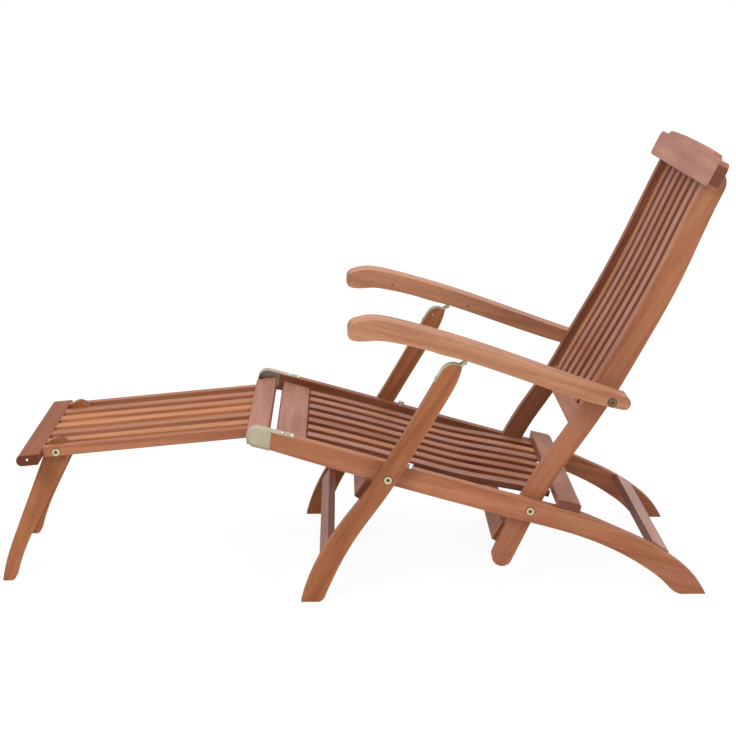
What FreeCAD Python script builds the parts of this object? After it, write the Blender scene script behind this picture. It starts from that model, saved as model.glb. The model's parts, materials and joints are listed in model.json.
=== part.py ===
import FreeCAD, Part
import math
import os
import Sketcher
from FreeCAD import Placement, Rotation, Vector

# Steamer deck chair of oiled hardwood with a folding frame and a hinged footrest.
# Seen from its left side the feet point to -X, the back leans to +X and +Z is up.
# The sitter's left hand is on the -Y side. The chair stands on Z = 0.

doc = FreeCAD.newDocument("deck_chair")
sheet = doc.addObject("Spreadsheet::Sheet", "Sizes")
sheet_rows = []
nodes = []


def size(name, value):
    """Keep one driving dimension in the sheet, in mm or degrees, and return it."""
    sheet_rows.append(name)
    row = len(sheet_rows)
    sheet.set("A%d" % row, name)
    sheet.set("B%d" % row, str(value))
    sheet.setAlias("B%d" % row, name)
    return float(value)


# Stack of pieces across the width
half_width = size("half_width", 300)
leg_thick = size("leg_thick", 24)
leg_gap = size("leg_gap", 10)
side_gap = size("side_gap", 4)
rail_thick = size("rail_thick", 25)
size("stile_thick", 24)
bolt_clear = size("bolt_clear", 0.05)
piece_gap = size("piece_gap", 0.3)
size("edge_round", 2)

# Pivots of the folding side frame, and how far each link reaches
leg_pivot_x = size("leg_pivot_x", 90)
leg_pivot_height = size("leg_pivot_height", 259)
pivot_run = size("pivot_run", 292)
pivot_fall = size("pivot_fall", 78)
link_run = size("link_run", 153)
link_rise = size("link_rise", 241)

# Seat rails with their rear legs
rail_front_run = size("rail_front_run", 247)
rail_front_depth = size("rail_front_depth", 36.5)
rail_depth = size("rail_depth", 46)
rail_lift = size("rail_lift", 4)
bend_run = size("bend_run", 365)
rear_foot_run = size("rear_foot_run", 634)
rear_foot_width = size("rear_foot_width", 52)
rear_leg_bow = size("rear_leg_bow", 24)

# Boards and slats of the seat
seat_plank_width = size("seat_plank_width", 62)
size("board_thick", 20)
plank_recess = size("plank_recess", 13)
seat_slat_thick = size("seat_slat_thick", 14)
size("seat_slat_width", 32)
size("seat_slat_margin", 49.2)
slat_drop = size("slat_drop", 3)
slat_rear_rise = size("slat_rear_rise", 12)
slat_tail = size("slat_tail", 43)
batten_width = size("batten_width", 40)
size("batten_thick", 16)
rear_rail_width = size("rear_rail_width", 51)
rear_rail_thick = size("rear_rail_thick", 18)
size("leg_rail_width", 44)
size("leg_rail_thick", 17)

# Front legs
front_foot_back = size("front_foot_back", 155.5)
front_foot_width = size("front_foot_width", 43)
front_leg_depth = size("front_leg_depth", 40)
front_leg_top_depth = size("front_leg_top_depth", 33)
leg_top_round = size("leg_top_round", 8)
front_leg_bow = size("front_leg_bow", 11)
size("stretcher_width", 34)
stretcher_thick = size("stretcher_thick", 17)
stretcher_run = size("stretcher_run", 83)

# Back
stile_foot_reach = size("stile_foot_reach", 122)
stile_foot_width = size("stile_foot_width", 40)
stile_depth = size("stile_depth", 44)
stile_reach = size("stile_reach", 738.5)
stile_lean = size("stile_lean", 76.6)
crest_tilt = size("crest_tilt", 6.8)
crest_height = size("crest_height", 71)
crest_arch = size("crest_arch", 4)
crest_thick = size("crest_thick", 24)
crest_ear = size("crest_ear", 58)
crest_ear_width = size("crest_ear_width", 94)
crest_overhang = size("crest_overhang", 71)
crest_proud = size("crest_proud", 10.8)
back_slat_thick = size("back_slat_thick", 14)
size("back_slat_width", 33)
size("back_slat_margin", 21)
back_recess = size("back_recess", 11)
bottom_board_reach = size("bottom_board_reach", 182)
bottom_board_width = size("bottom_board_width", 40)
low_board_reach = size("low_board_reach", 104)
low_board_width = size("low_board_width", 43)
low_board_proud = size("low_board_proud", 11)

# Armrests and their hinges
size("arm_gap", 19)
size("arm_overhang", 14)
arm_reach = size("arm_reach", 243)
arm_rear_radius = size("arm_rear_radius", 17)
arm_seat_height = size("arm_seat_height", 7.5)
arm_depth = size("arm_depth", 37)
strap_thick = size("strap_thick", 2)
size("strap_inset", 1.5)
size("knuckle_radius", 4)
size("knuckle_length", 6)
size("hinge_pin_radius", 2)
size("hinge_pin_clear", 0.25)
leaf_length = size("leaf_length", 46)

# Footrest and its brackets
bracket_reach = size("bracket_reach", 30)
bracket_tail = size("bracket_tail", 48)
bracket_tail_rise = size("bracket_tail_rise", 0.3)
size("bracket_plate_thick", 2)
size("bracket_plate_inset", 3)
tenon_radius = size("tenon_radius", 10)
size("tenon_play", 1)
foot_tilt = size("foot_tilt", 5.4)
size("foot_inset", 51)
size("foot_rail_thick", 22)
foot_rail_depth = size("foot_rail_depth", 21)
foot_rail_top = size("foot_rail_top", 9.5)
foot_plank_width = size("foot_plank_width", 45)
foot_run = size("foot_run", 448)
foot_slat_thick = size("foot_slat_thick", 12)
size("foot_slat_width", 32)
size("foot_slat_margin", 30)
foot_slat_top = size("foot_slat_top", 6.5)
size("end_bar_overhang", 35)
end_bar_width = size("end_bar_width", 49)
end_bar_thick = size("end_bar_thick", 23)
end_bar_top = size("end_bar_top", 6)
size("foot_leg_thick", 22)
size("foot_leg_gap", 3)
foot_leg_inset = size("foot_leg_inset", 28)
foot_leg_drop = size("foot_leg_drop", 3)
foot_head_radius = size("foot_head_radius", 23)
foot_leg_splay = size("foot_leg_splay", 117.5)
foot_leg_end = size("foot_leg_end", 20)

# Fasteners
bolt_radius = size("bolt_radius", 4)
size("bolt_head_radius", 8)
size("bolt_head_thick", 2)
size("bolt_recess_radius", 3.5)
size("washer_radius", 9)
size("nut_radius", 7)
size("nut_thick", 3)
size("screw_radius", 3.5)
size("screw_head", 1)
size("stud_radius", 6.5)
size("stud_length", 8)
bolt_bore = bolt_radius + bolt_clear

# Faces of the stack as formulas of the sheet, measured from the middle plane
outside = "Sizes.half_width"
leg_in = "(Sizes.half_width - Sizes.leg_thick)"
rail_out = "(" + leg_in + " - Sizes.leg_gap)"
rail_in = "(" + rail_out + " - Sizes.rail_thick)"
stile_out = "(" + rail_in + " - Sizes.side_gap)"
stile_in = "(" + stile_out + " - Sizes.stile_thick)"
foot_out = "(" + rail_in + " - Sizes.foot_inset)"
foot_in = "(" + foot_out + " - Sizes.foot_rail_thick)"
foot_leg_out = "(" + foot_in + " - Sizes.foot_leg_gap)"
foot_leg_in = "(" + foot_leg_out + " - Sizes.foot_leg_thick)"
plank_end = "(" + rail_in + " - Sizes.side_gap + 1)"
arm_in = "(" + stile_out + " + Sizes.arm_gap)"
arm_out = "(Sizes.half_width + Sizes.arm_overhang)"
sides = (("left", -1), ("right", 1))


def pitch(inner, margin, width, steps):
    """Spacing of slats that leaves a margin beside the pieces at both sides."""
    return "((%s - Sizes.%s - Sizes.%s / 2) / %d)" % (inner, margin, width, steps)


seat_pitch = pitch(rail_in, "seat_slat_margin", "seat_slat_width", 3)
back_pitch = pitch(stile_in, "back_slat_margin", "back_slat_width", 3)
foot_pitch = pitch(foot_in, "foot_slat_margin", "foot_slat_width", 2)


def side_frame(a, b):
    """Places measured from pivot a: along the line to b, and square to it on the upper left."""
    run = math.hypot(b[0] - a[0], b[1] - a[1])
    ux = (b[0] - a[0]) / run
    uz = (b[1] - a[1]) / run

    def place(along, up):
        return (a[0] + ux * along - uz * up, a[1] + uz * along + ux * up)

    return place


def slope_of(a, b):
    """The angle of the line from a to b, in degrees above +X."""
    return math.degrees(math.atan2(b[1] - a[1], b[0] - a[0]))


def crossing(a, b, c, d):
    """Where the line through a and b meets the line through c and d."""
    dx = b[0] - a[0]
    dz = b[1] - a[1]
    ex = d[0] - c[0]
    ez = d[1] - c[1]
    share = ((c[0] - a[0]) * ez - (c[1] - a[1]) * ex) / (dx * ez - dz * ex)
    return (a[0] + dx * share, a[1] + dz * share)


def line(a, b):
    """A straight edge of an outline."""
    return Part.LineSegment(Vector(a[0], a[1], 0), Vector(b[0], b[1], 0))


def arc(a, through, b):
    """A round edge of an outline."""
    return Part.Arc(Vector(a[0], a[1], 0), Vector(through[0], through[1], 0), Vector(b[0], b[1], 0))


def curve(points):
    """One smooth edge through points."""
    smooth = Part.BSplineCurve()
    smooth.interpolate([Vector(x, z, 0) for x, z in points])
    return smooth


def lines(points):
    """Straight edges from each point to the next."""
    return [line(a, b) for a, b in zip(points, points[1:])]


def closed(points):
    """Straight edges round a list of corners."""
    return lines(points + points[:1])


def body_with_sketch(name, role, edges):
    """A body whose first sketch lies on its own origin plane of that role."""
    body = doc.addObject("PartDesign::Body", name)
    body.Label = name
    plane = [o for o in body.Origin.OriginFeatures if o.Role == role][0]
    sketch = body.newObject("Sketcher::SketchObject", name + "_outline")
    sketch.AttachmentSupport = (plane, [""])
    sketch.MapMode = "FlatFace"
    for edge in edges:
        sketch.addGeometry(edge)
    return body, sketch


def padded(body, sketch, length):
    """Pad a sketch both ways by a formula of the sheet."""
    pad = body.newObject("PartDesign::Pad", body.Name + "_pad")
    pad.Profile = sketch
    pad.SideType = "Symmetric"
    pad.setExpression("Length", length)
    body.Tip = pad
    return pad


def rounded(body, radius="Sizes.edge_round"):
    """Round every edge of a body by a formula of the sheet."""
    doc.recompute()
    base = body.Tip
    fillet = body.newObject("PartDesign::Fillet", body.Name + "_round")
    fillet.Base = (base, [""])
    fillet.UseAllEdges = True
    fillet.setExpression("Radius", radius)
    body.Tip = fillet


def bored(body, holes):
    """Cut holes, each given as its centre and radius, through a body along Y."""
    doc.recompute()
    plane = [o for o in body.Origin.OriginFeatures if o.Role == "XZ_Plane"][0]
    sketch = body.newObject("Sketcher::SketchObject", body.Name + "_holes")
    sketch.AttachmentSupport = (plane, [""])
    sketch.MapMode = "FlatFace"
    for centre, radius in holes:
        sketch.addGeometry(Part.Circle(Vector(centre[0], centre[1], 0), Vector(0, 0, 1), radius))
    pocket = body.newObject("PartDesign::Pocket", body.Name + "_bores")
    pocket.Profile = sketch
    pocket.SideType = "Symmetric"
    pocket.Type = "ThroughAll"
    body.Tip = pocket


def plate(name, edges, thick, middle="0"):
    """A piece cut to an outline of the side view, with its middle at Y = middle."""
    body, sketch = body_with_sketch(name, "XZ_Plane", edges)
    padded(body, sketch, thick)
    body.setExpression("Placement.Base.y", middle)
    return body


def side_plate(name, edges, inner, outer, side):
    """A plate between two faces of the stack, on one side of the chair."""
    middle = "%d * ((%s) + (%s)) / 2" % (side, inner, outer)
    return plate(name, edges, "(%s) - (%s)" % (outer, inner), middle)


def board(name, corner, angle, width, thick, span):
    """A straight board across the chair, with rounded edges.

    corner is its upper edge on the -X side, and angle its slope above +X in degrees.
    """
    body, sketch = body_with_sketch(name, "XZ_Plane", closed([(0, 0), (0, -10), (20, -10), (20, 0)]))
    for i in range(4):
        sketch.addConstraint(Sketcher.Constraint("Coincident", i, 2, (i + 1) % 4, 1))
    sketch.addConstraint(Sketcher.Constraint("Vertical", 0))
    sketch.addConstraint(Sketcher.Constraint("Horizontal", 1))
    sketch.addConstraint(Sketcher.Constraint("Vertical", 2))
    sketch.addConstraint(Sketcher.Constraint("Horizontal", 3))
    sketch.addConstraint(Sketcher.Constraint("Coincident", 0, 1, -1, 1))
    down = sketch.addConstraint(Sketcher.Constraint("DistanceY", 0, 2, 0, 1, 10))
    across = sketch.addConstraint(Sketcher.Constraint("DistanceX", 1, 1, 1, 2, 20))
    sketch.setExpression("Constraints[%d]" % down, thick)
    sketch.setExpression("Constraints[%d]" % across, width)
    padded(body, sketch, span)
    rounded(body)
    body.Placement = Placement(Vector(corner[0], 0, corner[1]), Rotation(Vector(0, -1, 0), angle))
    return body


def rod(name, radius, inner, outer, centre, side):
    """A cylinder along Y between two faces of the stack."""
    cylinder = doc.addObject("Part::Cylinder", name)
    cylinder.setExpression("Radius", radius)
    cylinder.setExpression("Height", "(%s) - (%s)" % (outer, inner))
    start = inner if side > 0 else "-1 * (%s)" % outer
    cylinder.Placement = Placement(Vector(centre[0], 0, centre[1]), Rotation(Vector(1, 0, 0), -90))
    cylinder.setExpression("Placement.Base.y", start)
    return cylinder


def fused(name, pieces):
    """One object of several pieces."""
    fuse = doc.addObject("Part::MultiFuse", name)
    fuse.Label = name
    fuse.Shapes = pieces
    return fuse


def less(name, base, tool):
    """One object: a base less a tool."""
    cut = doc.addObject("Part::Cut", name)
    cut.Label = name
    cut.Base = base
    cut.Tool = tool
    return cut


# The four pivots: the two lower ones are on the seat rail
leg_pivot = (leg_pivot_x, leg_pivot_height)
back_pivot = (leg_pivot_x + pivot_run, leg_pivot_height - pivot_fall)
arm_pivot = (leg_pivot[0] + link_run, leg_pivot[1] + link_rise)
stile_pivot = (back_pivot[0] + link_run, back_pivot[1] + link_rise)
rail_at = side_frame(leg_pivot, back_pivot)
link_at = side_frame(leg_pivot, arm_pivot)
stile_at = side_frame(back_pivot, stile_pivot)
arm_at = side_frame(arm_pivot, stile_pivot)
rail_slope = slope_of(leg_pivot, back_pivot)
stile_slope = slope_of(back_pivot, stile_pivot)


def bolt(name, centre, side, inner, outer, washer_inner, washer_outer):
    """A bolt with a recessed head on the outer face, a washer in the gap and a nut inside."""
    head_top = "(" + outer + " + Sizes.bolt_head_thick)"
    nut_foot = "(" + inner + " - Sizes.nut_thick)"
    head = rod(name + "_head", "Sizes.bolt_head_radius", outer, head_top, centre, side)
    recess = rod(name + "_recess", "Sizes.bolt_recess_radius", outer + " + 0.5", head_top, centre, side)
    ring = less(name + "_ring", head, recess)
    shank = rod(name + "_shank", "Sizes.bolt_radius", nut_foot, outer, centre, side)
    washer = rod(name + "_washer", "Sizes.washer_radius", washer_inner, washer_outer, centre, side)
    nut = rod(name + "_nut", "Sizes.nut_radius", nut_foot, inner, centre, side)
    return fused(name, [ring, shank, washer, nut])


def share_frame(a, b):
    """Like side_frame, with the place along the line given as a share of its length."""
    place = side_frame(a, b)
    run = math.hypot(b[0] - a[0], b[1] - a[1])
    return lambda share, up: place(share * run, up)


def rounded_corner(a, corner, b, reach, lift):
    """A tangent arc over the corner of a path, moved out to its left by the lift."""
    before = math.hypot(a[0] - corner[0], a[1] - corner[1])
    after = math.hypot(b[0] - corner[0], b[1] - corner[1])
    inward = ((a[0] - corner[0]) / before + (b[0] - corner[0]) / after,
              (a[1] - corner[1]) / before + (b[1] - corner[1]) / after)
    length = math.hypot(inward[0], inward[1])
    turn = math.pi - 2 * math.acos(length / 2)
    depth = (reach * math.tan(turn / 4) - lift) / length
    middle = (corner[0] + inward[0] * depth, corner[1] + inward[1] * depth)
    return arc(side_frame(a, corner)(before - reach, lift), middle, side_frame(corner, b)(reach, lift))


def eased(points, reach, lift=0):
    """The edges of a path of points with rounded corners, moved to its left by the lift."""
    arcs = [rounded_corner(points[i - 1], points[i], points[i + 1], reach, lift)
            for i in range(1, len(points) - 1)]
    last_run = math.hypot(points[-1][0] - points[-2][0], points[-1][1] - points[-2][1])
    place = side_frame(points[0], points[1])(0, lift)
    edges = []
    for bend in arcs:
        edges += [line(place, bend.StartPoint), bend]
        place = bend.EndPoint
    edges.append(line(place, side_frame(points[-2], points[-1])(last_run, lift)))
    return edges


def band(points, reach, thick):
    """The outline of a bent strap that lies on the left of a path of points."""
    under = eased(points, reach)
    over = eased(points, reach, thick)
    return under + over + [line(under[0].StartPoint, over[0].StartPoint),
                            line(under[-1].EndPoint, over[-1].EndPoint)]


def stud(name, radius, length, centre, angle, height):
    """A short cylinder that stands out of a face of the side view at that angle."""
    cylinder = doc.addObject("Part::Cylinder", name)
    cylinder.setExpression("Radius", radius)
    cylinder.setExpression("Height", length)
    base = Vector(centre[0], 0, centre[1])
    turned = Rotation(Vector(0, -1, 0), angle).multiply(Rotation(Vector(0, 1, 0), 90))
    cylinder.Placement = Placement(base, turned)
    cylinder.setExpression("Placement.Base.y", height)
    return cylinder


# Seat frame

rail_half = rail_depth / 2
bend_start = rail_at(bend_run, 0)
rear_foot = (leg_pivot_x + rear_foot_run, 0)
rear_leg_at = share_frame(bend_start, rear_foot)
slat_start_run = -rail_front_run + 10.3 + seat_plank_width
slat_end_run = math.hypot(pivot_run, pivot_fall) + slat_tail
seat_length = slat_end_run - slat_start_run
rear_rail_front = slat_end_run + 6
rear_rail_back = rear_rail_front + rear_rail_width
rail_front_top = rail_at(-rail_front_run - rail_lift, rail_front_depth / 2 + 2.3 * rail_lift)
rail_front_bottom = rail_at(-rail_front_run + rail_lift / 2, 2.3 * rail_lift - rail_front_depth / 2)


def rail_outline():
    """Side rail and rear leg in one: nearly straight, then swept down to the floor."""
    toe = (rear_foot[0] + rear_foot_width / 2, 0)
    heel = (rear_foot[0] - rear_foot_width / 2, 0)
    top = [
        rail_front_top,
        rail_at(0, rail_half + 2.5),
        rail_at(bend_run / 2, rail_half - 0.5),
        rail_at(rear_rail_front, rail_half - 1.8),
        rail_at(rear_rail_back, rail_half - 2.8),
        rear_leg_at(0.31, rear_leg_bow + 14),
        rear_leg_at(0.55, rear_leg_bow + 21.5),
        rear_leg_at(0.76, rear_leg_bow + 20.5),
        rear_leg_at(0.91, rear_leg_bow + 12.5),
        toe,
    ]
    bottom = [
        heel,
        rear_leg_at(0.885, rear_leg_bow - 39),
        rear_leg_at(0.8, rear_leg_bow - 32.3),
        rear_leg_at(0.66, rear_leg_bow - 25.3),
        rear_leg_at(0.5, rear_leg_bow - 23.6),
        rear_leg_at(0.3, rear_leg_bow - 28.3),
        rear_leg_at(0.08, rear_leg_bow - 41.5),
        rail_at(bend_run - 57, -rail_half),
        rail_at(bend_run / 2, 1.5 - rail_half),
        rail_at(0, 5 - rail_half),
        rail_front_bottom,
    ]
    return [curve(top), line(toe, heel), curve(bottom), line(rail_front_bottom, rail_front_top)]


def make_seat_rails():
    for word, side in sides:
        rail = side_plate("seat_rail_" + word, rail_outline(), rail_in, rail_out, side)
        bored(rail, [(leg_pivot, bolt_bore), (back_pivot, bolt_bore)])
        nodes.append(rail)


plank_corner = rail_at(-rail_front_run + 10, rail_front_depth / 2 + 2.3 * rail_lift - plank_recess)
plank_slope = rail_slope - 2


def make_seat_plank():
    span = "2 * " + rail_in
    nodes.append(board("seat_front_plank", plank_corner, plank_slope, "Sizes.seat_plank_width",
                       "Sizes.board_thick", span))


def slat_line(drop):
    """The seat slats' top, or a line that far below it, from front to rear."""
    stations = [
        (0, 0.5),
        (0.18, 2),
        (0.45, 1),
        (0.62, slat_rear_rise * 0.05),
        (0.79, slat_rear_rise * 0.5),
        (1, slat_rear_rise),
    ]
    level = rail_half - slat_drop - drop
    return [rail_at(slat_start_run + seat_length * share, level + up) for share, up in stations]


def make_seat_slats():
    top = slat_line(0)
    bottom = slat_line(seat_slat_thick)
    for i in range(7):
        edges = [curve(top), line(top[-1], bottom[-1]), curve(bottom[::-1]), line(bottom[0], top[0])]
        middle = "%d * %s" % (i - 3, seat_pitch)
        slat = plate("seat_slat_%d" % (i + 1), edges, "Sizes.seat_slat_width", middle)
        rounded(slat)
        nodes.append(slat)


def make_seat_battens():
    inner = "2 * (" + stile_in + " - Sizes.side_gap)"
    across = "2 * " + rail_in
    places = (("front", 0.0015, 0.9, 0.8, across), ("middle", 0.4, 1.2, -0.6, across),
              ("rear", 0.66, 1.6, 3.2, inner))
    for word, share, up, tilt, span in places:
        run = slat_start_run + seat_length * share
        corner = rail_at(run, rail_half + up - slat_drop - piece_gap - seat_slat_thick)
        nodes.append(board("seat_batten_" + word, corner, rail_slope + tilt, "Sizes.batten_width",
                           "Sizes.batten_thick", span))


def make_seat_rear_rail():
    outline = [
        rail_at(rear_rail_front + 2, rail_half - 1.3),
        rail_at(rear_rail_back, rail_half - 2.1),
        rail_at(rear_rail_back - 1, rail_half + rear_rail_thick - 4),
        rail_at(rear_rail_back - 9, rail_half + rear_rail_thick),
        rail_at(rear_rail_front, rail_half + rear_rail_thick - 1),
    ]
    rail = plate("seat_rear_rail", closed(outline), "2 * " + rail_out)
    rounded(rail)
    nodes.append(rail)


def make_rear_leg_rail():
    corner = rear_leg_at(0.61, rear_leg_bow + 27.5)
    slope = slope_of(bend_start, rear_foot) - 5.4
    nodes.append(board("rear_leg_rail", corner, slope, "Sizes.leg_rail_width", "Sizes.leg_rail_thick",
                       "2 * " + rail_in))


# Brackets on the rail fronts, with a round pocket for the footrest's tenons

pocket_radius = rail_front_depth / 2
pocket_run = -rail_front_run - bracket_reach
pocket_up = 2.3 * rail_lift
pocket_centre = rail_at(pocket_run, pocket_up)
foot_pivot = (pocket_centre[0], pocket_centre[1] - pocket_radius + tenon_radius + piece_gap)


def bracket_outline():
    outer = pocket_radius + strap_thick
    tail_run = -rail_front_run - rail_lift + bracket_tail
    tail_up = pocket_up + pocket_radius + bracket_tail_rise
    lip_run = -rail_front_run + rail_lift / 2
    top_tail = rail_at(tail_run, tail_up + strap_thick)
    top_nose = rail_at(pocket_run, pocket_up + outer)
    low_nose = rail_at(pocket_run, pocket_up - outer)
    low_lip = rail_at(lip_run, pocket_up - outer)
    in_lip = rail_at(lip_run, pocket_up - pocket_radius)
    in_low = rail_at(pocket_run, pocket_up - pocket_radius)
    in_top = rail_at(pocket_run, pocket_up + pocket_radius)
    in_tail = rail_at(tail_run, tail_up)
    return [
        line(top_tail, top_nose),
        arc(top_nose, rail_at(pocket_run - outer, pocket_up), low_nose),
        line(low_nose, low_lip),
        line(low_lip, in_lip),
        line(in_lip, in_low),
        arc(in_low, rail_at(pocket_run - pocket_radius, pocket_up), in_top),
        line(in_top, in_tail),
        line(in_tail, top_tail),
    ]


def bracket_plate_outline():
    top = rail_at(pocket_run, pocket_up + pocket_radius)
    low = rail_at(pocket_run, pocket_up - pocket_radius)
    return [
        line(rail_front_top, top),
        arc(top, rail_at(pocket_run - pocket_radius, pocket_up), low),
        line(low, rail_front_bottom),
        line(rail_front_bottom, rail_front_top),
    ]


def make_brackets():
    plate_out = "(" + rail_out + " - Sizes.bracket_plate_inset)"
    plate_in = "(" + plate_out + " - Sizes.bracket_plate_thick)"
    for word, side in sides:
        name = "footrest_bracket_" + word
        strap = side_plate(name + "_strap", bracket_outline(), rail_in, rail_out, side)
        cover = side_plate(name + "_plate", bracket_plate_outline(), plate_in, plate_out, side)
        nodes.append(fused(name, [strap, cover]))


def make_bracket_screws():
    screws = []
    run = -rail_front_run - rail_lift + bracket_tail - 14
    centre = rail_at(run, pocket_up + pocket_radius + bracket_tail_rise + strap_thick)
    for word, side in sides:
        middle = "%d * (%s + %s) / 2" % (side, rail_in, rail_out)
        screws.append(stud("bracket_screw_" + word, "Sizes.screw_radius", "Sizes.screw_head", centre,
                           rail_slope + 90, middle))
    nodes.append(fused("bracket_screws", screws))


def make_pivot_bolts():
    for word, side in sides:
        nodes.append(bolt("leg_bolt_" + word, leg_pivot, side, rail_in, outside + " + Sizes.piece_gap",
                          rail_out, leg_in + " - Sizes.piece_gap"))
        nodes.append(bolt("back_bolt_" + word, back_pivot, side, stile_in + " - Sizes.piece_gap", rail_out,
                          stile_out + " + Sizes.piece_gap", rail_in))


def make_leg_stop_studs():
    centre = rail_at(40, rail_half + 2)
    studs = []
    for word, side in sides:
        studs.append(stud("leg_stop_stud_" + word, "Sizes.stud_radius", "Sizes.stud_length", centre,
                          rail_slope + 90, "%d * (%s - Sizes.stud_radius - 1)" % (side, rail_out)))
    nodes.append(fused("leg_stop_studs", studs))


# Front legs

front_foot = (leg_pivot_x - front_foot_back, 0)
lower_leg = share_frame(front_foot, leg_pivot)
upper_leg = share_frame(leg_pivot, arm_pivot)
link_length = math.hypot(link_run, link_rise)
leg_half = front_leg_depth / 2
leg_top_half = front_leg_top_depth / 2
leg_top = [
    link_at(link_length - 75, front_leg_bow + leg_top_half + 2),
    link_at(link_length - 30, front_leg_bow + leg_top_half + 3),
    link_at(link_length - 15, front_leg_bow + leg_top_half - 7),
    link_at(link_length - 10, 1),
]


def front_leg_outline():
    toe = (front_foot[0] - front_foot_width / 2, 0)
    heel = (front_foot[0] + front_foot_width * 0.36, 0)
    heel_middle = lower_leg(0.058, 2.4 - leg_half)
    heel_high = lower_leg(0.089, 3 - leg_half)
    front = [
        toe,
        lower_leg(0.09, front_leg_bow * 0.4 + leg_half + 3.6),
        lower_leg(0.225, front_leg_bow * 0.85 + leg_half + 4.6),
        lower_leg(0.545, front_leg_bow * 1.2 + leg_half + 0.5),
        lower_leg(0.85, front_leg_bow * 0.45 + leg_half - 1),
        upper_leg(0.3, front_leg_bow * 0.4 + leg_half - 1),
        leg_top[0],
    ]
    back = [
        leg_top[3],
        link_at(link_length - 36, -6.4),
        upper_leg(0.731, front_leg_bow * 0.75 + 1.5 - leg_half),
        upper_leg(0.3, front_leg_bow * 0.4 + 1.5 - leg_half),
        lower_leg(0.913, front_leg_bow * 0.3 + 1 - leg_half),
        lower_leg(0.545, front_leg_bow * 1.2 - leg_half - 0.5),
        lower_leg(0.225, front_leg_bow * 0.85 - leg_half - 1),
        heel_high,
    ]
    heel_edges = [arc(heel_high, heel_middle, heel), line(heel, toe)]
    return [curve(front)] + eased(leg_top, leg_top_round) + [curve(back)] + heel_edges


def make_front_legs():
    for word, side in sides:
        leg = side_plate("front_leg_" + word, front_leg_outline(), leg_in, outside, side)
        bored(leg, [(leg_pivot, bolt_bore)])
        nodes.append(leg)


def make_front_leg_stretcher():
    slope = slope_of(front_foot, leg_pivot) - 1
    corner = side_frame(front_foot, leg_pivot)(stretcher_run, front_leg_bow + leg_half + 1)
    nodes.append(board("front_leg_stretcher", corner, slope, "Sizes.stretcher_width",
                       "Sizes.stretcher_thick", "2 * " + leg_in))


def make_front_leg_stop_rail():
    slope = math.radians(slope_of(front_foot, leg_pivot) - 2.3)
    run = (math.cos(slope), math.sin(slope))
    low_front = lower_leg(0.769, front_leg_bow + leg_half + 7)
    low_rear = (low_front[0] + run[1] * stretcher_thick, low_front[1] - run[0] * stretcher_thick)
    under_a = rail_at(0, 5 - rail_half - piece_gap - 0.3)
    under_b = rail_at(-rail_front_run / 3, 7.6 - rail_half - piece_gap)
    top_front = crossing(low_front, (low_front[0] + run[0], low_front[1] + run[1]), under_a, under_b)
    top_rear = crossing(low_rear, (low_rear[0] + run[0], low_rear[1] + run[1]), under_a, under_b)
    rail = plate("front_leg_stop_rail", closed([low_front, top_front, top_rear, low_rear]), "2 * " + leg_in)
    rounded(rail)
    nodes.append(rail)


# Hinges between the front legs and the arms

hinge_in = "(" + leg_in + " + Sizes.strap_inset)"
hinge_out = "(Sizes.half_width - Sizes.strap_inset)"
knuckle_in = "(" + hinge_in + " + Sizes.knuckle_length)"
knuckle_out = "(" + hinge_out + " - Sizes.knuckle_length)"


def make_leg_straps():
    path = [side_frame(leg_top[0], leg_top[1])(10, 0)] + leg_top[1:]
    end_frame = side_frame(leg_top[3], leg_top[2])
    slope = side_frame(arm_pivot, (arm_pivot[0] + leg_top[2][0] - leg_top[3][0],
                                   arm_pivot[1] + leg_top[2][1] - leg_top[3][1]))
    web = [end_frame(0, -1), end_frame(7, -1), slope(3, 0), slope(-3, 0)]
    screw_at = side_frame(leg_top[0], leg_top[1])(18, strap_thick)
    for word, side in sides:
        name = "leg_strap_" + word
        pieces = [side_plate(name + "_band", band(path, leg_top_round, strap_thick), hinge_in, hinge_out, side)]
        for label, inner, outer in (("in", hinge_in, knuckle_in), ("out", knuckle_out, hinge_out)):
            pieces.append(rod(name + "_knuckle_" + label, "Sizes.knuckle_radius", inner, outer, arm_pivot, side))
            pieces.append(side_plate(name + "_web_" + label, closed(web), inner, outer, side))
        pieces.append(rod(name + "_pin", "Sizes.hinge_pin_radius", hinge_in, hinge_out, arm_pivot, side))
        middle = "%d * (%s + %s) / 2" % (side, hinge_in, hinge_out)
        angle = slope_of(leg_top[0], leg_top[1]) + 90
        pieces.append(stud(name + "_screw", "Sizes.screw_radius", "Sizes.screw_head", screw_at, angle, middle))
        nodes.append(fused(name, pieces))


def make_arm_leaves():
    low = arm_seat_height - strap_thick
    sheet_edges = closed([arm_at(-leaf_length, low), arm_at(3, low), arm_at(3, arm_seat_height),
                          arm_at(-leaf_length, arm_seat_height)])
    web = closed([arm_at(-3, 0), arm_at(3, 0), arm_at(3, arm_seat_height - 1), arm_at(-3, arm_seat_height - 1)])
    middle_in = knuckle_in + " + Sizes.piece_gap"
    middle_out = knuckle_out + " - Sizes.piece_gap"
    for word, side in sides:
        name = "arm_leaf_" + word
        flat = side_plate(name + "_sheet", sheet_edges, hinge_in, hinge_out, side)
        barrel = rod(name + "_barrel", "Sizes.knuckle_radius", middle_in, middle_out, arm_pivot, side)
        join = side_plate(name + "_web", web, "(" + middle_in + ")", middle_out, side)
        bore = rod(name + "_bore", "Sizes.hinge_pin_radius + Sizes.hinge_pin_clear", hinge_in, hinge_out,
                   arm_pivot, side)
        nodes.append(less(name, fused(name + "_solid", [flat, barrel, join]), bore))


# Arms

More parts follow.
